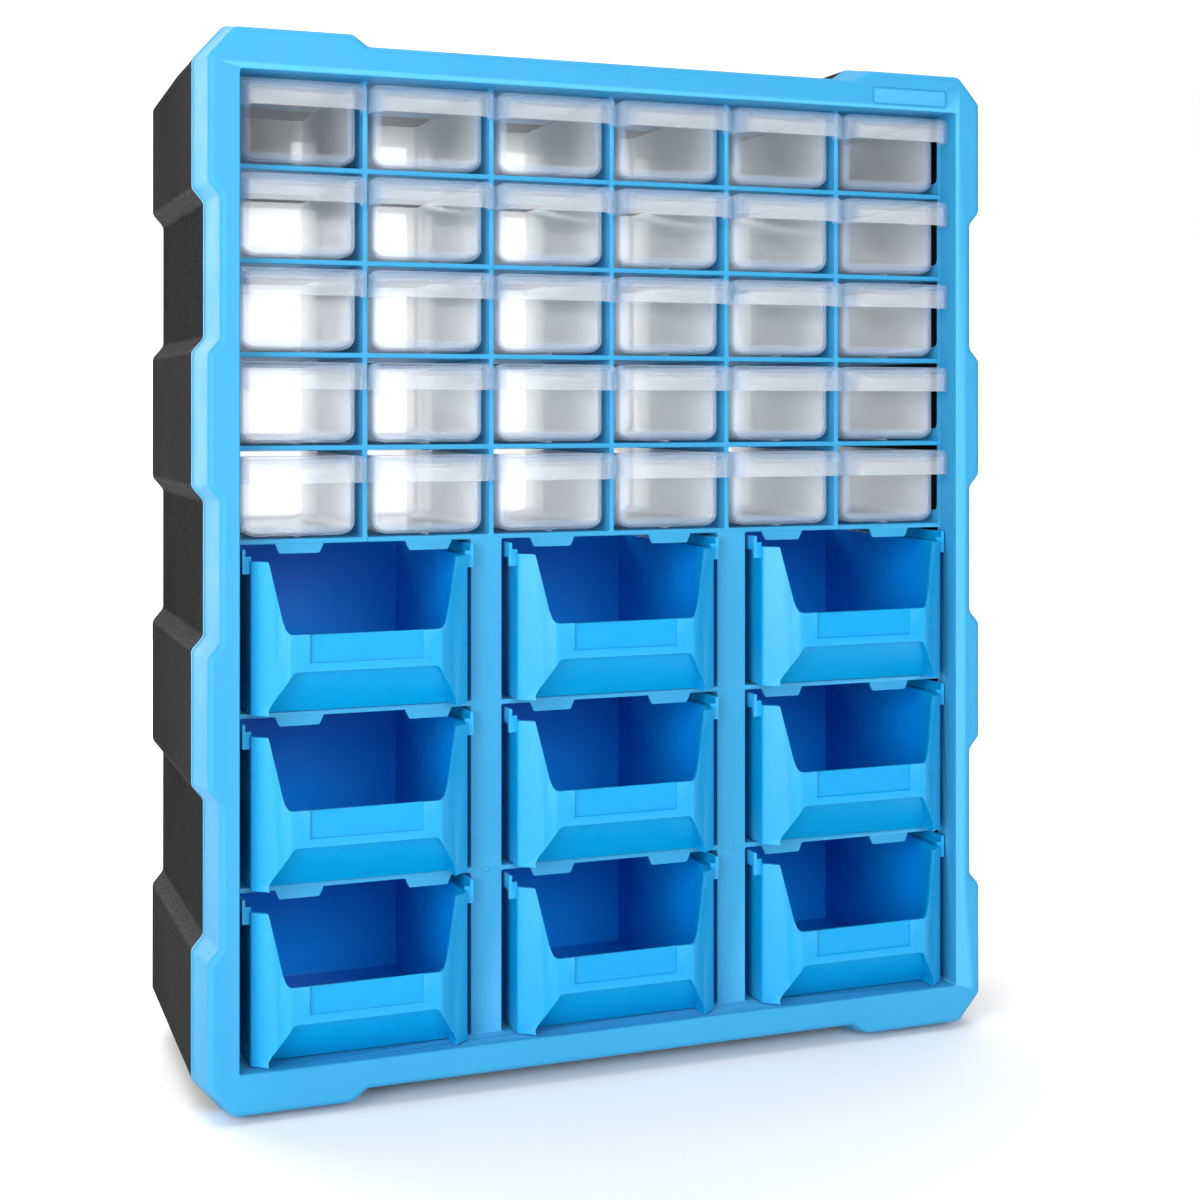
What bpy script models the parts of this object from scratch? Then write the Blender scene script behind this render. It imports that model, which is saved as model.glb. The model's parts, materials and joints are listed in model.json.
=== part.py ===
"""Wall or bench parts organizer: 30 small drawers over 9 open-fronted bins.

Frame: metres, +Z up, front towards -Y, X across the width. The origin is at
the middle of the footprint, on the surface that the cabinet stands on.
All design dimensions below are in millimetres.
"""
import math

import bmesh
import bpy

MM = 0.001

# Overall size
WIDTH = 380.0
HEIGHT = 470.0
DEPTH = 160.0
SILL_PROUD = 3.5            # bin sills stand this far in front of the bezel
FRONT = -DEPTH / 2 + SILL_PROUD     # y of the bezel's front face
REAR = DEPTH / 2

# Stepped outline shared by the front frame and the rear shell
NOTCH = 5.0                 # how far the recesses step in
SLANT = 5.9                 # height of the slanted step
PITCH = 58.5                # height of each block and each recess
CORNER_X = 13.2             # corner chamfer, across
CORNER_Z = 15.2             # corner chamfer, up
CORNER_REAR_Z = 19.5        # the chamfer grows towards the back
TOP_RECESS = 116.5          # half length of the recess in the top and bottom edges
TOP_SLANT = 7.0

# Front frame
BEZEL_DEPTH = 24.0
BEZEL_INSET = 4.0           # front face is this much inside the outline
SKIN = 2.5
GAP = 0.3
OPEN_X = 173.0              # half width of the front opening
GRID_Y = 16.5               # grid plane, behind the bezel's front face
GRID_DEPTH = 118.0
WALL = 2.2
RIM = OPEN_X + WALL
COLUMN = 57.9               # pitch of the small drawers
DIVIDER_X = 60.3            # wide dividers between the bins
DIVIDER_W = 14.4
SHELVES = [20.5, 95.7, 170.9, 246.1]
SMALL_ROW = 40.7
ROWS = 5
COLUMNS = 6
SIDE_SILL = 6.0             # low wall that closes the outer cells at the sides
TAB_IN = 17.6
TAB_OUT = 40.1
TAB_DROP = 4.2

# Small drawers
DRAWER_HALF = 25.0
DRAWER_FRONT = 17.0
DRAWER_LENGTH = 117.0
DRAWER_TALL = 35.0
DRAWER_WALL = 1.4
DRAWER_CORNER = (7.0, 5.5)  # lower corner rounding, across and up
DRAWER_LIFT = 1.0           # the runner under the tub keeps it off the shelf
HOOD_HALF = 27.9
HOOD_FACE_HALF = 21.6
HOOD_BACK = 16.2
HOOD_EDGE = 8.0
HOOD_FACE = 3.4
HOOD_TALL = 11.8
HOOD_FACE_TALL = 6.4

# Bins
BIN_CENTRES = (-119.2, 0.0, 120.9)
BIN_HALF = 48.0
FLANGE_HALF = 51.3
BIN_WALL = 2.0
BIN_TALL = 66.0
RIM_TALL = 71.0             # stepped-out rim along the side walls
BIN_WING = 8.5              # where the wings leave the side walls
BIN_BACK = 136.0
SILL_TOP = 35.0             # above the bin's underside
SILL_LOW = 18.9

# Rear shell
SHELL_WALL = 2.5
BACK_BAR = 9.0

BLUE = (0.045, 0.36, 0.80, 1.0)
BLACK = (0.030, 0.031, 0.033, 1.0)
MILKY = (0.78, 0.84, 0.90, 1.0)


def clear_scene():
    for obj in list(bpy.data.objects):
        bpy.data.objects.remove(obj, do_unlink=True)


def collection(name):
    coll = bpy.data.collections.new(name)
    bpy.context.scene.collection.children.link(coll)
    return coll


def material(name, colour, roughness, metallic=0.0):
    mat = bpy.data.materials.new(name)
    mat.use_nodes = True
    bsdf = mat.node_tree.nodes["Principled BSDF"]
    bsdf.inputs["Base Color"].default_value = colour
    bsdf.inputs["Roughness"].default_value = roughness
    bsdf.inputs["Metallic"].default_value = metallic
    return mat


def add_object(name, mesh, coll, mat=None):
    obj = bpy.data.objects.new(name, mesh)
    coll.objects.link(obj)
    if mat is not None:
        mesh.materials.clear()
        mesh.materials.append(mat)
    return obj


def as_cutter(obj):
    obj.hide_render = True
    obj.display_type = "WIRE"
    return obj


def face_outwards(bm):
    bmesh.ops.recalc_face_normals(bm, faces=bm.faces)
    if bm.calc_volume(signed=True) < 0:
        bmesh.ops.reverse_faces(bm, faces=bm.faces)


def mesh_from(bm, name):
    """Millimetres to metres, faces pointing out."""
    bmesh.ops.scale(bm, vec=(MM, MM, MM), verts=bm.verts)
    face_outwards(bm)
    mesh = bpy.data.meshes.new(name)
    bm.to_mesh(mesh)
    bm.free()
    return mesh


def box_mesh(name, x0, x1, y0, y1, z0, z1):
    bm = bmesh.new()
    bmesh.ops.create_cube(bm, size=1.0)
    for v in bm.verts:
        v.co.x = x0 if v.co.x < 0 else x1
        v.co.y = y0 if v.co.y < 0 else y1
        v.co.z = z0 if v.co.z < 0 else z1
    return mesh_from(bm, name)


def outline_mesh(name, outlines, low, high, axis):
    """Flat outline (first) with holes (the rest), extruded along y or z."""
    curve = bpy.data.curves.new(name, "CURVE")
    curve.dimensions = "2D"
    curve.fill_mode = "BOTH"
    curve.extrude = (high - low) / 2 * MM
    for points in outlines:
        spline = curve.splines.new("POLY")
        spline.points.add(len(points) - 1)
        spline.use_cyclic_u = True
        for point, (a, b) in zip(spline.points, points):
            point.co = (a * MM, b * MM, 0.0, 1.0)
    obj = bpy.data.objects.new(name, curve)
    bpy.context.scene.collection.objects.link(obj)
    bpy.context.view_layer.update()
    graph = bpy.context.evaluated_depsgraph_get()
    mesh = bpy.data.meshes.new_from_object(obj.evaluated_get(graph))
    bpy.data.objects.remove(obj, do_unlink=True)
    bm = bmesh.new()
    bm.from_mesh(mesh)
    bmesh.ops.remove_doubles(bm, verts=bm.verts, dist=1e-6)
    middle = (low + high) / 2 * MM
    for v in bm.verts:
        a, b, c = v.co
        v.co = (a, c + middle, b) if axis == "y" else (a, b, c + middle)
    face_outwards(bm)
    bm.to_mesh(mesh)
    bm.free()
    mesh.name = name
    return mesh


def loft_mesh(name, sections):
    """Closed solid through sections (y, outline) that share a point count."""
    bm = bmesh.new()
    rings = []
    for y, outline in sections:
        rings.append([bm.verts.new((x, y, z)) for x, z in outline])
    for near, far in zip(rings, rings[1:]):
        for i in range(len(near)):
            j = (i + 1) % len(near)
            bm.faces.new((near[i], near[j], far[j], far[i]))
    bm.faces.new(rings[0])
    bm.faces.new(list(reversed(rings[-1])))
    return mesh_from(bm, name)


def boolean(obj, cutter, operation="DIFFERENCE"):
    mod = obj.modifiers.new(operation.title(), "BOOLEAN")
    mod.operation = operation
    mod.solver = "EXACT"
    if isinstance(cutter, bpy.types.Collection):
        mod.operand_type = "COLLECTION"
        mod.collection = cutter
    else:
        mod.object = cutter
    return mod


def baked_mesh(obj, name):
    """The object's evaluated mesh, for copies that share it."""
    bpy.context.view_layer.update()
    graph = bpy.context.evaluated_depsgraph_get()
    mesh = bpy.data.meshes.new_from_object(obj.evaluated_get(graph))
    mesh.name = name
    bm = bmesh.new()
    bm.from_mesh(mesh)
    bmesh.ops.remove_doubles(bm, verts=bm.verts, dist=2e-6)
    bmesh.ops.dissolve_limit(bm, angle_limit=0.001, verts=bm.verts, edges=bm.edges)
    bm.to_mesh(mesh)
    bm.free()
    return mesh


def outline(corner_z=CORNER_Z):
    """Stepped outline of the cabinet seen from the front, anticlockwise from top left."""
    half = WIDTH / 2
    left = [(-half + CORNER_X, HEIGHT), (-half, HEIGHT - corner_z)]
    z = (HEIGHT + 5 * PITCH + 6 * SLANT) / 2
    for _ in range(3):
        left += [(-half, z), (-half + NOTCH, z - SLANT)]
        z -= SLANT + PITCH
        left += [(-half + NOTCH, z), (-half, z - SLANT)]
        z -= SLANT + PITCH
    left += [(-half, corner_z), (-half + CORNER_X, 0.0)]
    ends = TOP_RECESS + TOP_SLANT
    left += [(-ends, 0.0), (-TOP_RECESS, NOTCH)]
    left = [(-ends, HEIGHT)] + left
    left = [(-TOP_RECESS, HEIGHT - NOTCH)] + left
    right = [(-x, z) for x, z in reversed(left)]
    return left + right


def inset(points, distance):
    """Offset a closed anticlockwise outline inwards by a constant distance."""
    result = []
    count = len(points)
    for i in range(count):
        (x0, z0), (x1, z1), (x2, z2) = points[i - 1], points[i], points[(i + 1) % count]
        a = math.hypot(x1 - x0, z1 - z0)
        b = math.hypot(x2 - x1, z2 - z1)
        n0 = (-(z1 - z0) / a, (x1 - x0) / a)
        n1 = (-(z2 - z1) / b, (x2 - x1) / b)
        scale = distance / (1.0 + n0[0] * n1[0] + n0[1] * n1[1])
        result.append((x1 + (n0[0] + n1[0]) * scale, z1 + (n0[1] + n1[1]) * scale))
    return result


def rectangle(x0, x1, z0, z1):
    return [(x0, z0), (x1, z0), (x1, z1), (x0, z1)]


def rounded_tub(half, low, high, corner, steps=3):
    """U section with rounded lower corners, anticlockwise, flat open top."""
    across, up = corner
    points = []
    for side in (-1, 1):
        arc = []
        for k in range(steps + 1):
            angle = math.radians(90.0 * k / steps)
            x = half - across + across * math.cos(angle)
            z = low + up - up * math.sin(angle)
            arc.append((side * x, z))
        points += arc if side < 0 else arc[::-1]
    return [(-half, high)] + points + [(half, high)]


clear_scene()
parts = collection("parts_organizer")
cutters = collection("cutters")
windows = collection("window_cutters")

blue = material("blue_plastic", BLUE, 0.38)
black = material("black_plastic", BLACK, 0.55)
milky = material("milky_plastic", MILKY, 0.30)

SMALL_SHELVES = [SHELVES[-1] + SMALL_ROW * k for k in range(ROWS + 1)]
TOP = SMALL_SHELVES[-1]


# ---------------------------------------------------------------- front frame
def make_bezel():
    """Face, outer skirt and the rim of the opening, in one ring."""
    edge = outline()
    sections = [
        (FRONT, inset(edge, BEZEL_INSET + 1.6)),
        (FRONT + 0.5, inset(edge, BEZEL_INSET + 0.5)),
        (FRONT + 1.6, inset(edge, BEZEL_INSET)),
        (FRONT + BEZEL_DEPTH, edge),
    ]
    bezel = add_object("front_bezel", loft_mesh("front_bezel", sections), parts, blue)

    # Hollow behind the face, between the skirt and the opening's rim
    low, high = SHELVES[0] - WALL / 2, TOP + WALL / 2
    channel = outline_mesh(
        "bezel_channel", [inset(edge, BEZEL_INSET + SKIN), rectangle(-RIM, RIM, low, high)],
        FRONT + SKIN, REAR, "y")
    boolean(bezel, as_cutter(add_object("bezel_channel", channel, cutters)))
    mouth = box_mesh("front_opening", -OPEN_X, OPEN_X, FRONT - 2.0, REAR, low + WALL, high - WALL)
    boolean(bezel, as_cutter(add_object("front_opening", mouth, cutters)))
    ending = box_mesh("rim_end", -RIM - 1.0, RIM + 1.0, FRONT + GRID_Y - GAP, REAR, low - 1.0, high + 1.0)
    boolean(bezel, as_cutter(add_object("rim_end", ending, cutters)))

    # Blank label plate, slightly sunk, at the top right corner of the face
    plate = box_mesh("label_plate", 127.0, 167.5, FRONT - 1.0, FRONT + 0.5, 450.6, 458.8)
    boolean(bezel, as_cutter(add_object("label_plate", plate, cutters)))


def comb(level, upright_top, uprights):
    """Shelf with uprights on it, (middle, width) each, seen from the front, anticlockwise."""
    under, over = level - WALL / 2, level + WALL / 2
    points = [(-RIM, under), (RIM, under), (RIM, upright_top), (OPEN_X, upright_top), (OPEN_X, over)]
    for middle, width in sorted(uprights, reverse=True):
        right, left = middle + width / 2, middle - width / 2
        points += [(right, over), (right, upright_top), (left, upright_top), (left, over)]
    return points + [(-OPEN_X, over), (-OPEN_X, upright_top), (-RIM, upright_top)]


def make_shelf(name, level, above, uprights, hollow, stops):
    """One shelf of the grid, with the partitions and end walls that stand on it."""
    top = above - WALL / 2 - GAP
    near, back = FRONT + GRID_Y, FRONT + GRID_DEPTH
    mesh = outline_mesh(name, [comb(level, top, uprights)], near, back, "y")
    shelf = add_object(name, mesh, parts, blue)
    cuts = collection(name + "_cuts")

    # Behind the grid's front, the end walls are low sills that open into the shell
    for side in (-1, 1):
        x0, x1 = sorted((side * (OPEN_X - 1.0), side * (RIM + 1.0)))
        sill = level + WALL / 2 + SIDE_SILL
        add_object("window", box_mesh("window", x0, x1, near + WALL, back + 2.0, sill, top + 1.0), cuts)
    if hollow:      # wide dividers are channels, open at the back
        for middle, width in uprights:
            half = width / 2 - WALL
            mesh = box_mesh("channel", middle - half, middle + half, near + WALL, back + 2.0,
                            level + WALL / 2, top + 1.0)
            add_object("channel", mesh, cuts)
    for obj in cuts.objects:
        as_cutter(obj)
    boolean(shelf, cuts)

    # Tabs under the shelf, which stop a bin by its rear wall
    if stops:
        tabs = collection(name + "_tabs")
        under = level - WALL / 2
        for centre in (2 * -COLUMN, 0.0, 2 * COLUMN):
            for side in (-1, 1):
                x0, x1 = sorted((centre + side * TAB_IN, centre + side * TAB_OUT))
                points = [(x0 + 2.5, under - TAB_DROP), (x1 - 2.5, under - TAB_DROP),
                          (x1, under + 0.8), (x0, under + 0.8)]
                as_cutter(add_object("tab", outline_mesh("tab", [points], near, near + 2.2, "y"), tabs))
        boolean(shelf, tabs, "UNION")


def make_grid():
    """Drawer shelves, bin shelves and the top panel, numbered from the top row down."""
    partitions = [((k - 2) * COLUMN, WALL) for k in range(COLUMNS - 1)]
    dividers = [(side * DIVIDER_X, DIVIDER_W) for side in (-1, 1)]
    for k, (level, above) in enumerate(zip(SMALL_SHELVES, SMALL_SHELVES[1:])):
        make_shelf("drawer_shelf_r%d" % (ROWS - k), level, above, partitions, False, k == 0)
    for k, (level, above) in enumerate(zip(SHELVES, SHELVES[1:])):
        make_shelf("bin_shelf_r%d" % (3 - k), level, above, dividers, True, k > 0)
    mesh = box_mesh("top_panel", -RIM, RIM, FRONT + GRID_Y, FRONT + GRID_DEPTH, TOP - WALL / 2, TOP + WALL / 2)
    add_object("top_panel", mesh, parts, blue)


# ----------------------------------------------------------------- rear shell
def make_shell():
    near = FRONT + BEZEL_DEPTH + GAP
    front_edge = outline()
    rear_edge = outline(CORNER_REAR_Z)
    shell = add_object("rear_shell", loft_mesh("rear_shell", [
        (near, front_edge),
        (REAR - 1.5, rear_edge),
        (REAR, inset(rear_edge, 1.5)),
    ]), parts, black)
    hollow = loft_mesh("shell_hollow", [
        (near - 2.0, inset(front_edge, SHELL_WALL)),
        (REAR - SHELL_WALL, inset(rear_edge, SHELL_WALL)),
    ])
    boolean(shell, as_cutter(add_object("shell_hollow", hollow, cutters)))

    # Open windows in the back, with solid pads at the top corners
    levels = SHELVES + SMALL_SHELVES[1:]
    for low, high in zip(levels, levels[1:]):
        for col in (-1, 0, 1):
            x0 = col * 2 * COLUMN - COLUMN + BACK_BAR / 2
            x1 = col * 2 * COLUMN + COLUMN - BACK_BAR / 2
            top = high - BACK_BAR / 2
            if high > TOP - 1.0:
                top = high - 11.0
                x0 = x0 + 47.0 if col < 0 else x0
                x1 = x1 - 47.0 if col > 0 else x1
            mesh = box_mesh("window", x0, x1, REAR - 10.0, REAR + 2.0, low + BACK_BAR / 2, top)
            add_object("window", mesh, windows)

    # Keyholes in the corner pads, for hanging on two screws
    for side in (-1, 1):
        x = side * 143.0
        ring = [(x + 4.5 * math.cos(math.radians(a)), 424.0 + 4.5 * math.sin(math.radians(a)))
                for a in range(120, 421, 30)]
        slot = [(x + 2.25, 436.0), (x - 2.25, 436.0)]
        mesh = outline_mesh("keyhole", [ring + slot], REAR - 10.0, REAR + 2.0, "y")
        add_object("keyhole", mesh, windows)
    for obj in windows.objects:
        as_cutter(obj)
    boolean(shell, windows)
    return shell


# -------------------------------------------------------------- small drawers
def drawer_mesh():
    """Tub with a bevelled hood across its front; origin at the middle of the underside."""
    face = DRAWER_FRONT
    top = DRAWER_TALL
    inner_corner = tuple(r - DRAWER_WALL for r in DRAWER_CORNER)
    tub = add_object("tub", outline_mesh(
        "tub", [rounded_tub(DRAWER_HALF, 0.0, top, DRAWER_CORNER)],
        face, face + DRAWER_LENGTH, "y"), cutters)
    inner = outline_mesh(
        "tub_inner",
        [rounded_tub(DRAWER_HALF - DRAWER_WALL, DRAWER_WALL, top + 5.0, inner_corner)],
        face + DRAWER_WALL, face + DRAWER_LENGTH - DRAWER_WALL, "y")
    boolean(tub, as_cutter(add_object("tub_inner", inner, cutters)))

    high = top + 0.2
    low = high - HOOD_TALL
    band = add_object("hood", loft_mesh("hood", [
        (HOOD_FACE, hood_outline(HOOD_FACE_HALF, low, low + HOOD_FACE_TALL, 1.0)),
        (HOOD_EDGE, hood_outline(HOOD_HALF, low, high, 2.5)),
        (HOOD_BACK, hood_outline(HOOD_HALF, low, high, 2.5)),
    ]), cutters)
    wall = DRAWER_WALL
    hollow = loft_mesh("hood_hollow", [
        (HOOD_FACE + wall, hood_outline(HOOD_FACE_HALF - wall / 2, low - 2.0, low + HOOD_FACE_TALL - wall / 2, 0.6)),
        (HOOD_EDGE + wall / 2, hood_outline(HOOD_HALF - wall, low - 2.0, high - wall, 1.5)),
        (HOOD_BACK + 1.0, hood_outline(HOOD_HALF - wall, low - 2.0, high - wall, 1.5)),
    ])
    boolean(band, as_cutter(add_object("hood_hollow", hollow, cutters)))
    boolean(tub, band, "UNION")

    web = box_mesh("hood_web", 0.5 - DRAWER_HALF, DRAWER_HALF - 0.5, HOOD_EDGE + 2.0, face + 0.7,
                   high - wall - 0.4, high - 0.4)
    boolean(tub, as_cutter(add_object("hood_web", web, cutters)), "UNION")
    rib = box_mesh("runner", -0.8, 0.8, face + 3.0, face + DRAWER_LENGTH - 3.0, -0.7, 0.5)
    boolean(tub, as_cutter(add_object("runner", rib, cutters)), "UNION")
    mesh = baked_mesh(tub, "small_drawer")
    as_cutter(tub)
    as_cutter(band)
    return mesh


def hood_outline(half, low, high, radius):
    """Rectangle with cut top corners, anticlockwise."""
    return [(-half, low), (half, low), (half, high - radius), (half - radius, high),
            (radius - half, high), (-half, high - radius)]


# ----------------------------------------------------------------------- bins
def bin_mesh():
    """Open-fronted bin with splayed wings; origin at the middle of its underside."""
    sill = -SILL_PROUD
    plan = [(-BIN_HALF, BIN_BACK), (-BIN_HALF, BIN_WING + 1.2), (-BIN_HALF + 1.0, BIN_WING - 0.8),
            (-38.0, 0.0), (-34.9, -2.3), (-31.4, sill)]
    plan = plan + [(-x, y) for x, y in reversed(plan)]
    body = add_object("bin_body", outline_mesh("bin_body", [plan], 0.0, BIN_TALL, "z"), cutters)

    # The side walls step outwards near the top into an upright rim
    ledge = BIN_TALL - 1.8
    for side in (-1, 1):
        for x0, x1, z1 in ((BIN_HALF - 1.0, FLANGE_HALF, BIN_TALL), (FLANGE_HALF - 1.5, FLANGE_HALF, RIM_TALL)):
            a, b = sorted((side * x0, side * x1))
            mesh = box_mesh("rim", a, b, BIN_WING + 2.0, BIN_BACK, ledge, z1)
            boolean(body, as_cutter(add_object("rim", mesh, cutters)), "UNION")
    mesh = box_mesh("rear_rim", 1.0 - FLANGE_HALF, FLANGE_HALF - 1.0, BIN_BACK - BIN_WALL, BIN_BACK,
                    ledge, RIM_TALL)
    boolean(body, as_cutter(add_object("rear_rim", mesh, cutters)), "UNION")

    # Lower front: a panel that slopes back under the sill, between the wings
    slope = (14.0 + 2.0) / SILL_LOW
    drop = -1.0
    reach = 30.7 + (SILL_LOW - drop) * (43.5 - 30.7) / (SILL_LOW - 2.5)
    under = tapered_prism("bin_under", SILL_LOW, drop, 30.7, reach, -2.0, -2.0 + slope * (SILL_LOW - drop))
    boolean(body, as_cutter(add_object("bin_under", under, cutters)))

    # Inside, with its lower front parallel to the sloping panel
    wall = BIN_WALL
    inner_plan = [(-BIN_HALF + wall, BIN_BACK - wall), (-BIN_HALF + wall, BIN_WING + 2.4),
                  (-37.0, 2.2), (-31.0, sill + 2.6)]
    inner_plan = inner_plan + [(-x, y) for x, y in reversed(inner_plan)]
    inner = add_object("bin_inside", outline_mesh("bin_inside", [inner_plan], wall, BIN_TALL + 5.0, "z"), cutters)
    ramp = add_object("bin_ramp", ramp_mesh(slope, wall), cutters)
    boolean(inner, as_cutter(ramp))
    boolean(body, as_cutter(inner))

    # Scoop in the front, and the label recess in the sill
    scoop = [(-42.4, BIN_TALL + 5.0), (-41.3, BIN_TALL), (-36.0, SILL_TOP + 5.5), (-34.9, SILL_TOP + 2.0),
             (-31.5, SILL_TOP)]
    scoop = scoop + [(-x, z) for x, z in reversed(scoop)]
    mesh = outline_mesh("scoop", [scoop], -20.0, BIN_WING + 6.0, "y")
    boolean(body, as_cutter(add_object("scoop", mesh, cutters)))
    mesh = box_mesh("label", -24.7, 24.7, -20.0, sill + 1.2, 22.8, SILL_TOP + 2.0)
    boolean(body, as_cutter(add_object("label", mesh, cutters)))
    result = baked_mesh(body, "bin")
    as_cutter(body)
    return result


def tapered_prism(name, top, bottom, half_top, half_bottom, y_top, y_bottom):
    """Wedge under the sill: wider and deeper towards the floor."""
    bm = bmesh.new()
    bmesh.ops.create_cube(bm, size=1.0)
    for v in bm.verts:
        half, back, z = (half_top, y_top, top) if v.co.z > 0 else (half_bottom, y_bottom, bottom)
        v.co = (half if v.co.x > 0 else -half, back if v.co.y > 0 else -20.0, z)
    return mesh_from(bm, name)


def ramp_mesh(slope, wall):
    """What the inside leaves solid: everything in front of the sloping panel's inner face."""
    shift = wall * math.hypot(1.0, slope)
    high = SILL_LOW + 2.4
    bm = bmesh.new()
    bmesh.ops.create_cube(bm, size=1.0)
    for v in bm.verts:
        z = high if v.co.z > 0 else -1.0
        back = -2.0 + slope * (SILL_LOW - z) + shift
        v.co = (60.0 if v.co.x > 0 else -60.0, back if v.co.y > 0 else -20.0, z)
    return mesh_from(bm, "bin_ramp")


make_bezel()
make_grid()
make_shell()

shared_drawer = drawer_mesh()
for row in range(ROWS):
    for col in range(COLUMNS):
        name = "drawer_r%d_c%d" % (ROWS - row, col + 1)
        drawer = add_object(name, shared_drawer, parts)
        x = (col - (COLUMNS - 1) / 2) * COLUMN
        z = SMALL_SHELVES[row] + WALL / 2 + DRAWER_LIFT
        drawer.location = (x * MM, FRONT * MM, z * MM)
shared_drawer.materials.clear()
shared_drawer.materials.append(milky)

shared_bin = bin_mesh()
for row in range(3):
    for col, centre in enumerate(BIN_CENTRES):
        name = "bin_r%d_c%d" % (3 - row, col + 1)
        box = add_object(name, shared_bin, parts)
        z = SHELVES[row] + WALL / 2 + 0.4
        box.location = (centre * MM, FRONT * MM, z * MM)
shared_bin.materials.clear()
shared_bin.materials.append(blue)
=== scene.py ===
import json
import math

import bmesh
import bpy
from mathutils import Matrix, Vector

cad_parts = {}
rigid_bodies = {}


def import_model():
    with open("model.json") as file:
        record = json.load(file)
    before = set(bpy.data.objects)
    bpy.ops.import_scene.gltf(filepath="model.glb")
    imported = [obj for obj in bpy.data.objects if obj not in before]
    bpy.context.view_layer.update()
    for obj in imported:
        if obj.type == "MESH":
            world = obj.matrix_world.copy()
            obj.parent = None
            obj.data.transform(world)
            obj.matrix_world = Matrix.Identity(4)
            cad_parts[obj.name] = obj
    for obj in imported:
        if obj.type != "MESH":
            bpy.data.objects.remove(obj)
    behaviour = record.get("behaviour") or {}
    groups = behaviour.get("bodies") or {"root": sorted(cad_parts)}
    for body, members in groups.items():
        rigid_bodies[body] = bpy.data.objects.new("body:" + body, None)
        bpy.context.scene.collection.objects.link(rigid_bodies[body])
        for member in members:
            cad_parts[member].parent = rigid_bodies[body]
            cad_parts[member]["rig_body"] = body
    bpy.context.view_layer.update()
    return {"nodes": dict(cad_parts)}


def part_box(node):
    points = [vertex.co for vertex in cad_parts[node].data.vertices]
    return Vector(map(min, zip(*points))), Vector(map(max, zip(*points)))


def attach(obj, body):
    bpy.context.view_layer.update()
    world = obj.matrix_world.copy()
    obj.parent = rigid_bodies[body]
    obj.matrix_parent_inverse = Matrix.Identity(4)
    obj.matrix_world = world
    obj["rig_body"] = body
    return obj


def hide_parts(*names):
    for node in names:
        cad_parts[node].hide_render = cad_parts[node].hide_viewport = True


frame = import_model()

# Sizes are in millimetres until a mesh is finished. x runs across, y to the back, z up.
MM = 0.001
WIDTH, HEIGHT, DEPTH = 380.0, 470.0, 160.0
SILL_PROUD = 3.5
FRONT = -DEPTH / 2 + SILL_PROUD
REAR = DEPTH / 2

# Stepped outline that the frame and the shell share
NOTCH, SLANT, PITCH = 5.0, 5.9, 58.5
CORNER_X, CORNER_Z, CORNER_REAR_Z = 13.2, 15.2, 19.5
TOP_RECESS, TOP_SLANT = 116.5, 7.0

# Frame: bezel, cells, the tabs under the bin shelves, the blank label and the injection marks
BEZEL_DEPTH, BEZEL_INSET, SKIN, GAP = 24.0, 4.0, 2.5, 0.3
BEZEL_CORNER, RIDGE, MOUTH_CORNER = 4.0, 3.0, 1.4
OPEN_X, GRID_Y, GRID_DEPTH, WALL = 173.0, 16.5, 118.0, 2.2
COLUMN, DIVIDER_X, DIVIDER_W = 57.9, 60.3, 14.4
SHELVES = [20.5, 95.7, 170.9, 246.1]
SMALL_ROW, ROWS, COLUMNS = 40.7, 5, 6
SMALL_SHELVES = [SHELVES[-1] + SMALL_ROW * k for k in range(ROWS + 1)]
TOP = SMALL_SHELVES[-1]
CELL_CORNER, CELL_RIM = 0.9, 0.4
SIDE_SILL = 6.0
TAB_IN, TAB_OUT, TAB_DROP, TAB_SLOPE, TAB_ROOT, TAB_RIM = 17.6, 40.1, 4.2, 2.5, 1.3, 0.3
LABEL_X, LABEL_Z, LABEL_LINE, LABEL_DEEP = (127.0, 167.5), (450.4, 459.0), 0.9, 0.45
MARK = 1.15

# Shell: walls, the bars across the back and the two keyholes
SHELL_WALL, BACK_BAR, SHELL_CORNER = 2.5, 9.0, 4.5
TOP_BAR, CORNER_PAD, WINDOW_CORNER = 11.0, 47.0, 2.5
KEYHOLE_X, KEYHOLE_Z, KEYHOLE_RISE, KEYHOLE_HEAD, KEYHOLE_SLOT = 143.0, 424.0, 10.0, 4.5, 2.25

# Small drawer: tub and hood
DRAWER_HALF, DRAWER_FRONT, DRAWER_LENGTH = 25.0, 17.0, 117.0
DRAWER_TALL, DRAWER_WALL = 35.0, 1.3
HOOD_HALF, HOOD_FACE_HALF = 27.9, 21.6
HOOD_BACK, HOOD_EDGE, HOOD_FACE = 16.2, 8.0, 3.4
HOOD_TALL, HOOD_FACE_TALL = 11.8, 6.4
RUNNER = 0.7
RIB_HALF, RIBS, RIB_PITCH = 7.0, 3, 0.9
LEVELS, LEVEL_LOW, LEVEL_PITCH = 6, 16.0, 2.1

# Open-fronted bin
BIN_HALF, FLANGE_HALF, BIN_WALL = 48.0, 51.3, 1.9
BIN_TALL, RIM_TALL, BIN_WING, BIN_BACK = 66.0, 71.0, 8.5, 136.0
SILL_TOP, SILL_LOW, PANEL_TOP = 35.0, 18.9, -1.0
PANEL_HALF, PANEL_SPREAD, PANEL_FOOT = 31.5, 0.62, 14.0
LABEL_HALF, LABEL_LOW, LABEL_IN = 24.7, 22.8, 1.2
# Where a cutter that comes from the front begins
AHEAD = -20.0


# ------------------------------------------------------------- mesh helpers
def collection(name):
    """New collection in the scene."""
    coll = bpy.data.collections.new(name)
    bpy.context.scene.collection.children.link(coll)
    return coll


pieces = collection("pieces")
work = collection("work")


def add(name, mesh, coll=None):
    """Link an object. Working ones are hidden, so that they aren't evaluated again and again."""
    obj = bpy.data.objects.new(name, mesh)
    (coll or work).objects.link(obj)
    obj.hide_viewport = coll is not pieces
    return obj


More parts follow.
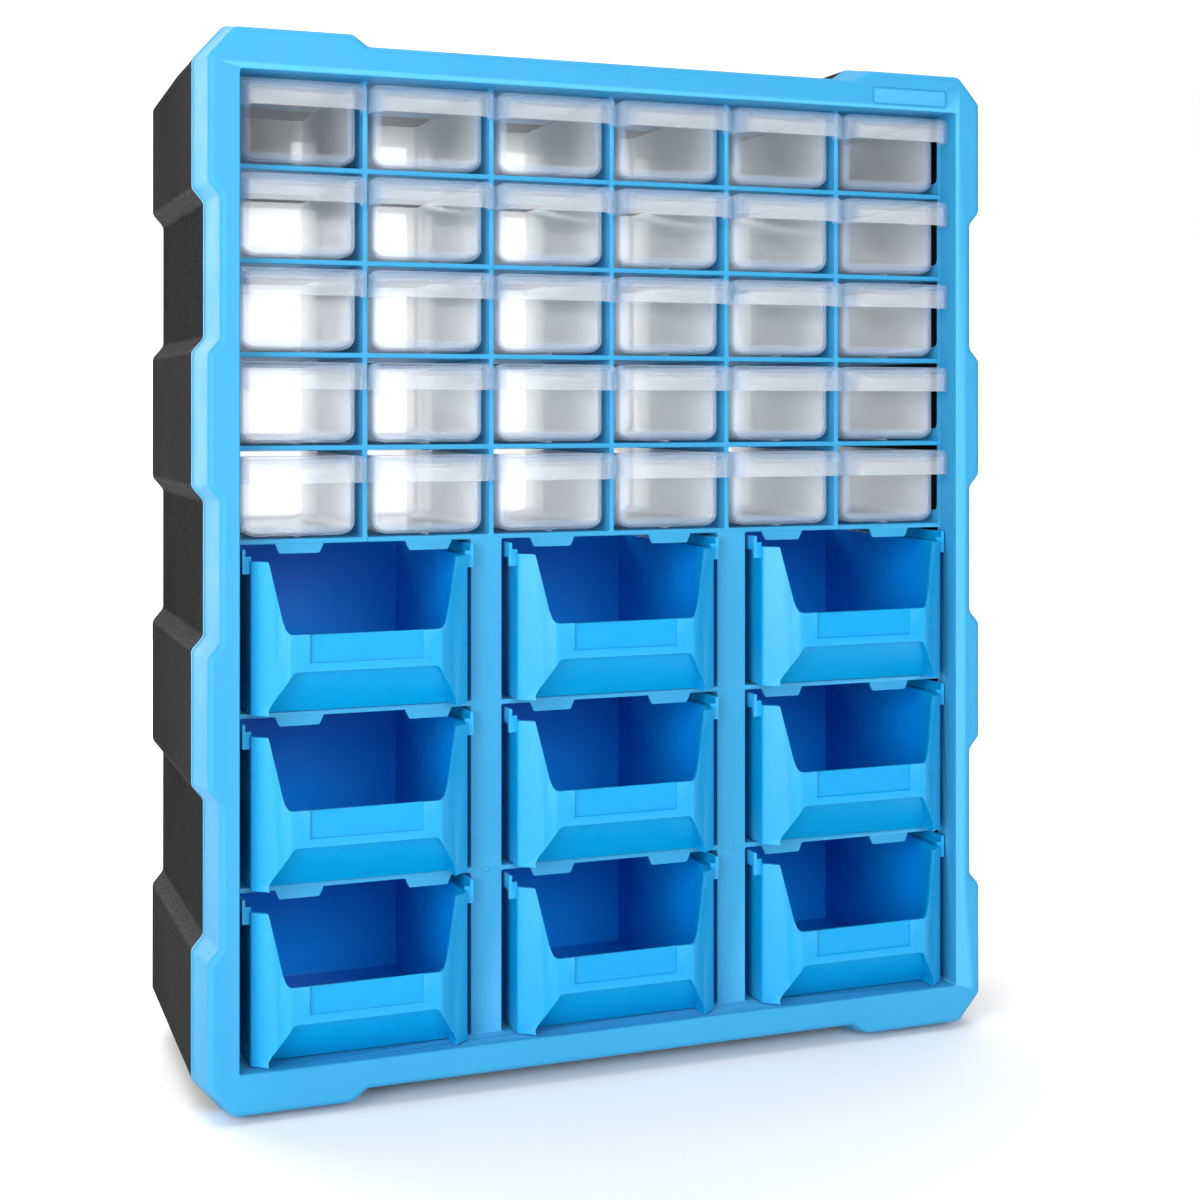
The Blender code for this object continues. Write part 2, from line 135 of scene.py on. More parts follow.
def face_outwards(bm):
    """Turn the faces of a closed mesh outwards."""
    bmesh.ops.recalc_face_normals(bm, faces=bm.faces)
    if bm.calc_volume(signed=True) < 0:
        bmesh.ops.reverse_faces(bm, faces=bm.faces)


def mesh_from(bm, name):
    """Mesh in metres from one built in millimetres."""
    bmesh.ops.scale(bm, vec=(MM, MM, MM), verts=bm.verts)
    face_outwards(bm)
    mesh = bpy.data.meshes.new(name)
    bm.to_mesh(mesh)
    bm.free()
    return mesh


def box(x0, x1, y0, y1, z0, z1):
    bm = bmesh.new()
    bmesh.ops.create_cube(bm, size=1.0)
    for v in bm.verts:
        v.co.x = x0 if v.co.x < 0 else x1
        v.co.y = y0 if v.co.y < 0 else y1
        v.co.z = z0 if v.co.z < 0 else z1
    return mesh_from(bm, "box")


def dome(x, y, z, radius):
    """Slightly flattened ball, half of which is sunk into a surface."""
    bm = bmesh.new()
    bmesh.ops.create_uvsphere(bm, u_segments=12, v_segments=8, radius=radius)
    for v in bm.verts:
        v.co = (v.co.x + x, v.co.y * 0.8 + y, v.co.z + z)
    return mesh_from(bm, "dome")


AXES = {"x": (2, 0, 1), "y": (0, 2, 1), "z": (0, 1, 2)}


def plate(outlines, low, high, axis, soft=0.0):
    """Flat outline (first) with holes (the rest), extruded along an axis, with softened rims."""
    curve = bpy.data.curves.new("plate", "CURVE")
    curve.dimensions = "2D"
    curve.fill_mode = "BOTH"
    curve.extrude = ((high - low) / 2 - soft) * MM
    if soft:
        curve.bevel_depth = soft * MM
        curve.offset = -soft * MM
        curve.bevel_resolution = 1
        outlines = [outlines[0]] + [hole[::-1] for hole in outlines[1:]]
    for points in outlines:
        spline = curve.splines.new("POLY")
        spline.points.add(len(points) - 1)
        spline.use_cyclic_u = True
        for point, (a, b) in zip(spline.points, points):
            point.co = (a * MM, b * MM, 0.0, 1.0)
    obj = bpy.data.objects.new("plate", curve)
    mesh = bpy.data.meshes.new_from_object(obj)
    bpy.data.objects.remove(obj, do_unlink=True)
    bm = bmesh.new()
    bm.from_mesh(mesh)
    bmesh.ops.remove_doubles(bm, verts=bm.verts, dist=1e-6)
    middle = (low + high) / 2 * MM
    order = AXES[axis]
    for v in bm.verts:
        source = (v.co.x, v.co.y, v.co.z + middle)
        v.co = [source[i] for i in order]
    face_outwards(bm)
    bm.to_mesh(mesh)
    bm.free()
    return mesh


def loft(sections):
    """Closed solid through sections (y, outline) that share a point count."""
    bm = bmesh.new()
    rings = [[bm.verts.new((x, y, z)) for x, z in points] for y, points in sections]
    for near, far in zip(rings, rings[1:]):
        for i in range(len(near)):
            j = (i + 1) % len(near)
            bm.faces.new((near[i], near[j], far[j], far[i]))
    bm.faces.new(rings[0])
    bm.faces.new(list(reversed(rings[-1])))
    return mesh_from(bm, "loft")


def boolean(obj, cutter, operation="DIFFERENCE", own=False):
    """Cut with, or join, a mesh or a collection of them; own allows for pieces that overlap."""
    if isinstance(cutter, bpy.types.Mesh):
        cutter = add("cutter", cutter)
    mod = obj.modifiers.new(operation.title(), "BOOLEAN")
    mod.operation = operation
    mod.solver = "EXACT"
    mod.use_self = own
    if isinstance(cutter, bpy.types.Collection):
        mod.operand_type = "COLLECTION"
        mod.collection = cutter
    else:
        mod.object = cutter
    return mod


def bevel(obj, width, segments=2, angle=40.0, merge=0.2):
    """Clear away slivers and cut lines on flat faces, then round every edge over an angle."""
    weld = obj.modifiers.new("Weld", "WELD")
    weld.merge_threshold = merge * MM
    flat = obj.modifiers.new("Flat", "DECIMATE")
    flat.decimate_type = "DISSOLVE"
    flat.angle_limit = math.radians(0.4)
    mod = obj.modifiers.new("Bevel", "BEVEL")
    mod.width = width * MM
    mod.segments = segments
    mod.limit_method = "ANGLE"
    mod.angle_limit = math.radians(angle)
    mod.use_clamp_overlap = False
    return mod


def baked(obj, name, smooth=35.0):
    """The evaluated mesh, cleaned, smooth-shaded with sharp edges over an angle."""
    obj.hide_viewport = False
    bpy.context.view_layer.update()
    graph = bpy.context.evaluated_depsgraph_get()
    mesh = bpy.data.meshes.new_from_object(obj.evaluated_get(graph))
    obj.hide_viewport = True
    mesh.name = name
    bm = bmesh.new()
    bm.from_mesh(mesh)
    bmesh.ops.remove_doubles(bm, verts=bm.verts, dist=3e-6)
    loose = [v for v in bm.verts if not v.link_faces]
    bmesh.ops.delete(bm, geom=loose, context="VERTS")
    bm.to_mesh(mesh)
    bm.free()
    mesh.shade_smooth()
    mesh.set_sharp_from_angle(angle=math.radians(smooth))
    return mesh


def weighted(obj):
    """Flat shading for the large faces next to rounded edges."""
    mod = obj.modifiers.new("Normals", "WEIGHTED_NORMAL")
    mod.keep_sharp = True
    mod.weight = 80
    return mod


def rounded(points, radius, steps=4):
    """The closed outline with each corner replaced by an arc."""
    if not isinstance(radius, (list, tuple)):
        radius = [radius] * len(points)
    result = []
    count = len(points)
    for i in range(count):
        before, here, after = [Vector(points[k % count]) for k in (i - 1, i, i + 1)]
        a, b = before - here, after - here
        angle = a.angle(b)
        reach = min(radius[i] / math.tan(angle / 2), a.length * 0.48, b.length * 0.48)
        p0, p2 = here + a.normalized() * reach, here + b.normalized() * reach
        for k in range(steps + 1):
            t = k / steps
            point = p0 * (1 - t) ** 2 + here * 2 * t * (1 - t) + p2 * t * t
            result.append((point.x, point.y))
    return result


def rectangle(x0, x1, z0, z1):
    return [(x0, z0), (x1, z0), (x1, z1), (x0, z1)]


def outline(corner_z=CORNER_Z):
    """Stepped outline of the cabinet seen from the front, anticlockwise."""
    half = WIDTH / 2
    left = [(-half + CORNER_X, HEIGHT), (-half, HEIGHT - corner_z)]
    z = (HEIGHT + 5 * PITCH + 6 * SLANT) / 2
    for _ in range(3):
        left += [(-half, z), (-half + NOTCH, z - SLANT)]
        z -= SLANT + PITCH
        left += [(-half + NOTCH, z), (-half, z - SLANT)]
        z -= SLANT + PITCH
    left += [(-half, corner_z), (-half + CORNER_X, 0.0)]
    ends = TOP_RECESS + TOP_SLANT
    left += [(-ends, 0.0), (-TOP_RECESS, NOTCH)]
    left = [(-TOP_RECESS, HEIGHT - NOTCH), (-ends, HEIGHT)] + left
    right = [(-x, z) for x, z in reversed(left)]
    return left + right


def inset(points, distance):
    """Offset a closed anticlockwise outline inwards by a constant distance."""
    result = []
    count = len(points)
    for i in range(count):
        (x0, z0), (x1, z1), (x2, z2) = points[i - 1], points[i], points[(i + 1) % count]
        a = math.hypot(x1 - x0, z1 - z0)
        b = math.hypot(x2 - x1, z2 - z1)
        n0 = (-(z1 - z0) / a, (x1 - x0) / a)
        n1 = (-(z2 - z1) / b, (x2 - x1) / b)
        scale = distance / (1.0 + n0[0] * n1[0] + n0[1] * n1[1])
        result.append((x1 + (n0[0] + n1[0]) * scale, z1 + (n0[1] + n1[1]) * scale))
    return result


# ---------------------------------------------------------------- materials
class Nodes:
    """Short-hand for building one material's node tree."""

    def __init__(self, name):
        self.mat = bpy.data.materials.new(name)
        self.mat.use_nodes = True
        self.tree = self.mat.node_tree
        self.tree.nodes.clear()
        self.out = self.tree.nodes.new("ShaderNodeOutputMaterial")
        self.coords = self.tree.nodes.new("ShaderNodeTexCoord").outputs["Object"]

    def node(self, kind, inputs=None, **settings):
        n = self.tree.nodes.new("ShaderNode" + kind)
        for key, value in settings.items():
            setattr(n, key, value)
        for key, value in (inputs or {}).items():
            if isinstance(value, bpy.types.NodeSocket):
                self.tree.links.new(value, n.inputs[key])
            else:
                n.inputs[key].default_value = value
        return n

    def noise(self, scale, detail=2.0, rough=0.5, vector=None):
        return self.node("TexNoise", {"Scale": scale, "Detail": detail, "Roughness": rough,
                                      "Vector": vector or self.coords}).outputs["Fac"]

    def remap(self, value, low, high, to_low, to_high):
        return self.node("MapRange", {"Value": value, "From Min": low, "From Max": high,
                                      "To Min": to_low, "To Max": to_high}).outputs["Result"]

    def mix(self, factor, a, b, blend="MIX"):
        n = self.node("Mix", data_type="RGBA", blend_type=blend)
        for index, value in ((0, factor), (6, a), (7, b)):
            if isinstance(value, bpy.types.NodeSocket):
                self.tree.links.new(value, n.inputs[index])
            else:
                n.inputs[index].default_value = value
        return n.outputs[2]

    def math(self, operation, a, b):
        n = self.node("Math", operation=operation)
        for index, value in enumerate((a, b)):
            if isinstance(value, bpy.types.NodeSocket):
                self.tree.links.new(value, n.inputs[index])
            else:
                n.inputs[index].default_value = value
        return n.outputs[0]

    def bump(self, height, strength, distance, normal=None):
        inputs = {"Height": height, "Strength": strength, "Distance": distance}
        if normal is not None:
            inputs["Normal"] = normal
        return self.node("Bump", inputs).outputs["Normal"]

    def finish(self, shader):
        self.tree.links.new(shader, self.out.inputs["Surface"])
        return self.mat


def blue_plastic(name, deep, light, edge_highlight_colour, roughness=0.54, glow_share=0.10, inner=None):
    """Moulded plastic that lets a little light through, with a painted highlight along its edges
    and, for a bin, painted shade on its inner walls.
    """
    n = Nodes(name)
    cloud = n.remap(n.noise(9.0, 3.0), 0.3, 0.7, 0.0, 1.0)
    colour = n.mix(cloud, deep, light)
    if inner:
        # Painted shade: a deeper blue on the walls inside a bin, where they lie in shade
        place = n.node("SeparateXYZ", {"Vector": n.coords})
        across = n.math("ABSOLUTE", place.outputs["X"], 0.0)
        inside = n.remap(across, (BIN_HALF - 1.3) * MM, (BIN_HALF - 0.9) * MM, 1.0, 0.0)
        inside = n.math("MULTIPLY", inside, n.remap(place.outputs["Y"], 0.015, 0.030, 0.0, 1.0))
        inside = n.math("MULTIPLY", inside, n.remap(
            place.outputs["Y"], (BIN_BACK - 1.3) * MM, (BIN_BACK - 0.9) * MM, 1.0, 0.0))
        inside = n.math("MULTIPLY", inside, n.remap(place.outputs["Z"], 0.0008, 0.0014, 0.0, 1.0))
        colour = n.mix(inside, colour, inner)
    # Painted highlight: a paler colour on sharp, rounded edges, where they would catch the light
    edge = n.remap(n.node("NewGeometry").outputs["Pointiness"], 0.52, 0.60, 0.0, 0.6)
    colour = n.mix(edge, colour, edge_highlight_colour)
    rough = n.remap(n.noise(55.0, 4.0), 0.3, 0.7, roughness - 0.05, roughness + 0.06)
    peel = n.noise(420.0, 2.0)
    grain = n.noise(2400.0, 1.0)
    normal = n.bump(grain, 0.08, 0.00005, n.bump(peel, 0.06, 0.00010))
    shader = n.node("BsdfPrincipled", {"Base Color": colour, "Roughness": rough, "Normal": normal})
    shader.inputs["IOR"].default_value = 1.38
    shader.inputs["Specular IOR Level"].default_value = 0.5
    glow = n.node("BsdfTranslucent", {"Color": light, "Normal": normal})
    whole = n.node("MixShader", {"Fac": glow_share})
    n.tree.links.new(shader.outputs[0], whole.inputs[1])
    n.tree.links.new(glow.outputs[0], whole.inputs[2])
    return n.finish(whole.outputs[0])


def black_plastic(name):
    """Grained matt plastic, with painted glints in its grain and painted highlights along its edges
    and on the slants of its sides.
    """
    n = Nodes(name)
    cloud = n.remap(n.noise(14.0, 4.0), 0.3, 0.7, 0.0, 1.0)
    colour = n.mix(cloud, (0.015, 0.015, 0.015, 1.0), (0.021, 0.021, 0.021, 1.0))
    grain = n.noise(1100.0, 3.0, 0.65)
    # Painted glints: light specks of the grain, spread over the whole surface
    glint_speck = n.remap(n.noise(1500.0, 2.0, 0.7), 0.50, 0.72, 0.0, 1.0)
    colour = n.mix(n.math("MULTIPLY", glint_speck, 0.22), colour, (0.11, 0.11, 0.11, 1.0))
    # Painted highlight: lighter grey on sharp edges, broken up by the specks
    edge = n.remap(n.node("NewGeometry").outputs["Pointiness"], 0.52, 0.60, 0.0, 1.0)
    edge = n.math("MULTIPLY", edge, n.remap(glint_speck, 0.0, 1.0, 0.06, 0.70))
    colour = n.mix(edge, colour, (0.26, 0.26, 0.26, 1.0))
    # Painted highlight on the slants between the steps of the two long sides, broken up by the
    # specks
    place = n.node("SeparateXYZ", {"Vector": n.coords})
    step = (PITCH + SLANT) * MM
    middle = (HEIGHT + 5 * PITCH + 5 * SLANT) / 2 * MM
    away = n.math("PINGPONG", n.math("SUBTRACT", place.outputs["Z"], middle), step / 2)
    slant = n.remap(away, 0.0026, 0.0044, 1.0, 0.0)
    side = n.remap(n.math("ABSOLUTE", place.outputs["X"], 0.0), 0.1820, 0.1835, 0.0, 1.0)
    slant_highlight = n.math("MULTIPLY", n.math("MULTIPLY", slant, side), n.remap(glint_speck, 0.0, 1.0, 0.16, 0.80))
    colour = n.mix(slant_highlight, colour, (0.12, 0.12, 0.12, 1.0))
    rough = n.remap(n.noise(300.0, 3.0), 0.3, 0.7, 0.46, 0.62)
    normal = n.bump(grain, 0.55, 0.00025)
    shader = n.node("BsdfPrincipled", {"Base Color": colour, "Roughness": rough, "Normal": normal})
    shader.inputs["Specular IOR Level"].default_value = 0.0
    return n.finish(shader.outputs[0])


def milky_plastic(name):
    """Polypropylene: clear in front, milky sides, a frosted back, a cool rim and a hazy grip."""
    n = Nodes(name)
    cloud = n.remap(n.noise(40.0, 3.0), 0.3, 0.7, 0.96, 1.03)
    normal = n.bump(n.noise(260.0, 2.0), 0.05, 0.0002)
    place = n.node("SeparateXYZ", {"Vector": n.coords})
    depth = place.outputs["Y"]
    in_tub = n.remap(depth, 0.0160, 0.0170, 0.0, 1.0)
    behind = n.remap(depth, 0.0200, 0.0225, 0.0, 1.0)
    grip = n.remap(depth, 0.0048, 0.0056, 1.0, 0.0)
    side = n.remap(n.math("ABSOLUTE", place.outputs["X"], 0.0), 0.0208, 0.0222, 0.0, 1.0)
    foot = n.remap(place.outputs["Z"], 0.0036, 0.0052, 1.0, 0.0)
    rim = n.math("MULTIPLY", n.math("MAXIMUM", side, foot), n.math("SUBTRACT", in_tub, behind))
    white, cool, clear = (0.86, 0.90, 0.94, 1.0), (0.60, 0.75, 0.93, 1.0), (0.90, 0.92, 0.94, 1.0)
    tint = n.mix(rim, n.mix(in_tub, n.mix(grip, cool, white), clear), cool)
    tint = n.mix(behind, tint, (0.92, 0.92, 0.92, 1.0))
    rough = n.remap(n.noise(70.0, 3.0), 0.3, 0.7, 0.14, 0.24)
    body = n.node("BsdfPrincipled", {"Base Color": tint, "Roughness": rough, "Normal": normal})
    body.inputs["IOR"].default_value = 1.45
    body.inputs["Specular IOR Level"].default_value = 0.7
    glow = n.node("BsdfTranslucent", {"Color": tint})
    back = n.remap(depth, 0.1310, 0.1320, 0.0, 1.0)
    scatter = n.node("MixShader", {"Fac": n.remap(back, 0.0, 1.0, 0.32, 0.85)})
    n.tree.links.new(body.outputs[0], scatter.inputs[1])
    n.tree.links.new(glow.outputs[0], scatter.inputs[2])
    passing = n.mix(back, (0.985, 0.99, 0.995, 1.0), (0.90, 0.90, 0.90, 1.0))
    through = n.node("BsdfTransparent", {"Color": passing})
    # The share of light that passes straight through each face
    share = n.remap(in_tub, 0.0, 1.0, 0.86, 0.92)
    share = n.math("SUBTRACT", share, n.math("MULTIPLY", grip, 0.10))
    share = n.math("SUBTRACT", share, n.math("MULTIPLY", rim, 0.16))
    share = n.math("SUBTRACT", share, n.math("MULTIPLY", behind, 0.52))
    share = n.math("ADD", share, n.math("MULTIPLY", back, 0.16))
    facing = n.node("LayerWeight", {"Blend": 0.35}).outputs["Facing"]
    thin = n.remap(facing, 0.0, 1.0, 1.0, 0.66)
    open_share = n.math("MULTIPLY", n.math("MULTIPLY", share, thin), cloud)
    whole = n.node("MixShader", {"Fac": open_share})
    n.tree.links.new(scatter.outputs[0], whole.inputs[1])
    n.tree.links.new(through.outputs[0], whole.inputs[2])
    return n.finish(whole.outputs[0])


BLUE_DEEP = (0.026, 0.308, 0.575, 1.0)
BLUE_LIGHT = (0.034, 0.332, 0.61, 1.0)
# Colour of the painted highlight along blue edges
BLUE_EDGE_HIGHLIGHT = (0.10, 0.52, 0.86, 1.0)
BIN_DEEP = (0.0, 0.335, 0.69, 1.0)
BIN_LIGHT = (0.0, 0.355, 0.73, 1.0)
# Colour of the painted shade on the inner walls of the bins
BIN_INSIDE_SHADE = (0.0, 0.32, 0.95, 1.0)
frame_blue = blue_plastic("frame_blue", BLUE_DEEP, BLUE_LIGHT, BLUE_EDGE_HIGHLIGHT)
bin_blue = blue_plastic("bin_blue", BIN_DEEP, BIN_LIGHT, BLUE_EDGE_HIGHLIGHT, 0.30, 0.16, BIN_INSIDE_SHADE)
shell_black = black_plastic("shell_black")
clear_tub = milky_plastic("clear_tub")


def finish_piece(obj, mesh, mat, body, nodes):
    """Material, body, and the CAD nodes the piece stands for."""
    mesh.materials.clear()
    mesh.materials.append(mat)
    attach(obj, body)
    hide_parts(*nodes)


# -------------------------------------------------------------- front frame
def cell_outlines():
    """Front outlines of the 30 drawer cells and the 9 bin cells."""
    cells = []
    for low, high in zip(SMALL_SHELVES, SMALL_SHELVES[1:]):
        for col in range(COLUMNS):
            left = (col - COLUMNS / 2) * COLUMN + WALL / 2
            right = left + COLUMN - WALL
            cells.append(rectangle(max(left, -OPEN_X), min(right, OPEN_X),
                                   low + WALL / 2, high - WALL / 2))
    inner = DIVIDER_X - DIVIDER_W / 2
    outer = DIVIDER_X + DIVIDER_W / 2
    for low, high in zip(SHELVES, SHELVES[1:]):
        for left, right in ((-OPEN_X, -outer), (-inner, inner), (outer, OPEN_X)):
            cells.append(rectangle(left, right, low + WALL / 2, high - WALL / 2))
    return cells


def make_frame():
    """Bezel with its skirt, the grid of cells and the small details, in one mesh."""
    edge = outline()
    sections = []
    for k in range(7):
        a = math.radians(15.0 * k)
        sections.append((FRONT + RIDGE * (1 - math.cos(a)),
                         BEZEL_INSET - 0.6 + RIDGE * (1 - math.sin(a))))
    skirt = FRONT + BEZEL_DEPTH
    sections += [(FRONT + BEZEL_DEPTH / 2, 1.9), (skirt - 2.4, 0.5), (skirt - 1.9, 0.05),
                 (skirt - 0.5, 0.0), (skirt, 0.5)]
    frame_obj = add("frame", loft([(y, rounded(inset(edge, d), BEZEL_CORNER, 4))
                                   for y, d in sections]))

    # Hollow between the skirt and the walls round the cells
    rim = OPEN_X + WALL
    walls = rectangle(-rim, rim, SHELVES[0] - WALL / 2, TOP + WALL / 2)
    boolean(frame_obj, plate([inset(edge, BEZEL_INSET + SKIN), walls],
                             FRONT + SKIN + 1.0, REAR, "y"))

    # Mouth in the face, with a softened edge
    flare = [(FRONT - 1.0, 1.5), (FRONT + 0.1, 0.4), (FRONT + 0.4, 0.12), (FRONT + 0.8, 0.0),
             (REAR, 0.0)]
    mouth = [(y, rectangle(-OPEN_X - d, OPEN_X + d, SHELVES[0] + WALL / 2 - d,
                           TOP - WALL / 2 + d), MOUTH_CORNER + d) for y, d in flare]
    boolean(frame_obj, loft([(y, rounded(points, radius, 4)) for y, points, radius in mouth]))

    cells = [rounded(cell, CELL_CORNER, 3) for cell in cell_outlines()]
    grid = plate([walls] + cells, FRONT + GRID_Y, FRONT + GRID_DEPTH, "y", CELL_RIM)
    boolean(frame_obj, grid, "UNION", own=True)

    cuts = collection("frame_cuts")
    near, back = FRONT + GRID_Y + WALL, FRONT + GRID_DEPTH + 2.0
    for low, high in zip(SHELVES, SHELVES[1:]):
        for side in (-1, 1):
            middle, half = side * DIVIDER_X, DIVIDER_W / 2 - WALL
            add("cut", box(middle - half, middle + half, near, back,
                           low + WALL / 2, high - WALL / 2), cuts)
    spans = list(zip(SHELVES, SHELVES[1:])) + list(zip(SMALL_SHELVES, SMALL_SHELVES[1:]))
    for side in (-1, 1):
        for low, high in spans:
            x0, x1 = sorted((side * (OPEN_X - 1.0), side * (rim + 1.0)))
            sill = low + WALL / 2 + SIDE_SILL
            top = high - WALL / 2
            window = [(near, sill), (back, sill), (back, top), (near, top)]
            add("cut", plate([rounded(window, [3.5, 0.1, 0.1, 1.0], 4)], x0, x1, "x"), cuts)
    (x0, x1), (z0, z1), line = LABEL_X, LABEL_Z, LABEL_LINE
    label = [rounded(rectangle(x0, x1, z0, z1), 1.6, 4),
             rounded(rectangle(x0 + line, x1 - line, z0 + line, z1 - line), 1.0, 4)]
    add("cut", plate(label, FRONT - 1.0, FRONT + LABEL_DEEP, "y"), cuts)
    boolean(frame_obj, cuts, own=True)

    tabs = collection("frame_tabs")
    for low in SHELVES[1:]:
        for centre in (-2 * COLUMN, 0.0, 2 * COLUMN):
            for side in (-1, 1):
                x0, x1 = sorted((centre + side * TAB_IN, centre + side * TAB_OUT))
                under = low - WALL / 2
                points = [(x0 + TAB_SLOPE, under - TAB_DROP), (x1 - TAB_SLOPE, under - TAB_DROP),
                          (x1, under + TAB_ROOT), (x0, under + TAB_ROOT)]
                add("tab", plate([rounded(points, 0.9, 2)], FRONT + GRID_Y + 0.15,
                                 FRONT + GRID_Y + 2.3, "y", TAB_RIM), tabs)
    # Small domes left by the injection points
    for x, z in ((-DIVIDER_X, SHELVES[1]), (DIVIDER_X, SHELVES[1]), (-2 * COLUMN, SHELVES[3]),
                 (2 * COLUMN, SHELVES[3]), (-COLUMN, SMALL_SHELVES[3])):
        add("mark", dome(x, FRONT + GRID_Y, z, MARK), tabs)
    boolean(frame_obj, tabs, "UNION", own=True)
    mesh = baked(frame_obj, "frame_moulding")
    obj = add("frame_moulding", mesh, pieces)
    weighted(obj)
    moulding = [node for node, part in frame["nodes"].items()
                if part["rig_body"] == "cabinet" and node != "rear_shell"]
    finish_piece(obj, mesh, frame_blue, "cabinet", sorted(moulding))


# --------------------------------------------------------------- rear shell
def keyhole(x):
    """Round hole with a narrower slot above it."""
    head = [(x + KEYHOLE_HEAD * math.cos(math.radians(a)),
             KEYHOLE_Z + KEYHOLE_HEAD * math.sin(math.radians(a))) for a in range(120, 421, 15)]
    slot = [(x + KEYHOLE_SLOT * math.cos(math.radians(a)),
             KEYHOLE_Z + KEYHOLE_RISE + KEYHOLE_SLOT * math.sin(math.radians(a)))
            for a in range(0, 181, 20)]
    return head + slot


def make_shell():
    """Stepped black shell, open in front, with windows and keyholes in its back."""
    near = FRONT + BEZEL_DEPTH + GAP
    front_edge, rear_edge = outline(), outline(CORNER_REAR_Z)
    sections = [(near, 0.9, 0), (near + 0.25, 0.35, 0), (near + 0.9, 0.0, 0), (REAR - 3.0, 0.0, 1),
                (REAR - 1.5, 0.4, 1), (REAR - 0.4, 1.5, 1), (REAR, 3.0, 1)]
    edges = (front_edge, rear_edge)
    shell = add("shell", loft([(y, rounded(inset(edges[k], d), SHELL_CORNER, 5))
                               for y, d, k in sections]))
    hollow = loft([(near - 2.0, rounded(inset(front_edge, SHELL_WALL), 2.5, 5)),
                   (REAR - SHELL_WALL, rounded(inset(rear_edge, SHELL_WALL), 2.5, 5))])
    boolean(shell, hollow)
    cuts = collection("shell_cuts")
    levels = SHELVES + SMALL_SHELVES[1:]
    for low, high in zip(levels, levels[1:]):
        for col in (-1, 0, 1):
            x0 = col * 2 * COLUMN - COLUMN + BACK_BAR / 2
            x1 = col * 2 * COLUMN + COLUMN - BACK_BAR / 2
            top = high - BACK_BAR / 2
            if high > TOP - 1.0:
                # The top row is lower, and its outer corners are solid pads
                top = high - TOP_BAR
                x0 = x0 + CORNER_PAD if col < 0 else x0
                x1 = x1 - CORNER_PAD if col > 0 else x1
            window = rounded(rectangle(x0, x1, low + BACK_BAR / 2, top), WINDOW_CORNER, 4)
            add("cut", plate([window], REAR - 10.0, REAR + 2.0, "y"), cuts)
    for side in (-1, 1):
        add("cut", plate([keyhole(side * KEYHOLE_X)], REAR - 10.0, REAR + 2.0, "y"), cuts)
    boolean(shell, cuts)
    bevel(shell, 0.4, 2, 50.0)
    mesh = baked(shell, "shell_moulding")
    obj = add("shell_moulding", mesh, pieces)
    weighted(obj)
    finish_piece(obj, mesh, shell_black, "cabinet", ["rear_shell"])


# ------------------------------------------------------------ small drawers
def tub_outline(half, low, high, across, up, steps=6):
    """U shape with elliptical corners of the given width and height, open ends joined on top."""
    points = [(-half, high)]
    for side in (-1, 1):
        arc = []
        for k in range(steps + 1):
            a = math.radians(90.0 * k / steps)
            arc.append((side * (half - across + across * math.cos(a)), low + up - up * math.sin(a)))
        points += arc if side < 0 else arc[::-1]
    return points + [(half, high)]


def hood_outline(half, low, high, radius):
    """Box with rounded top corners."""
    return rounded([(-half, low), (half, low), (half, high), (-half, high)],
                   [0.2, 0.2, radius, radius], 5)


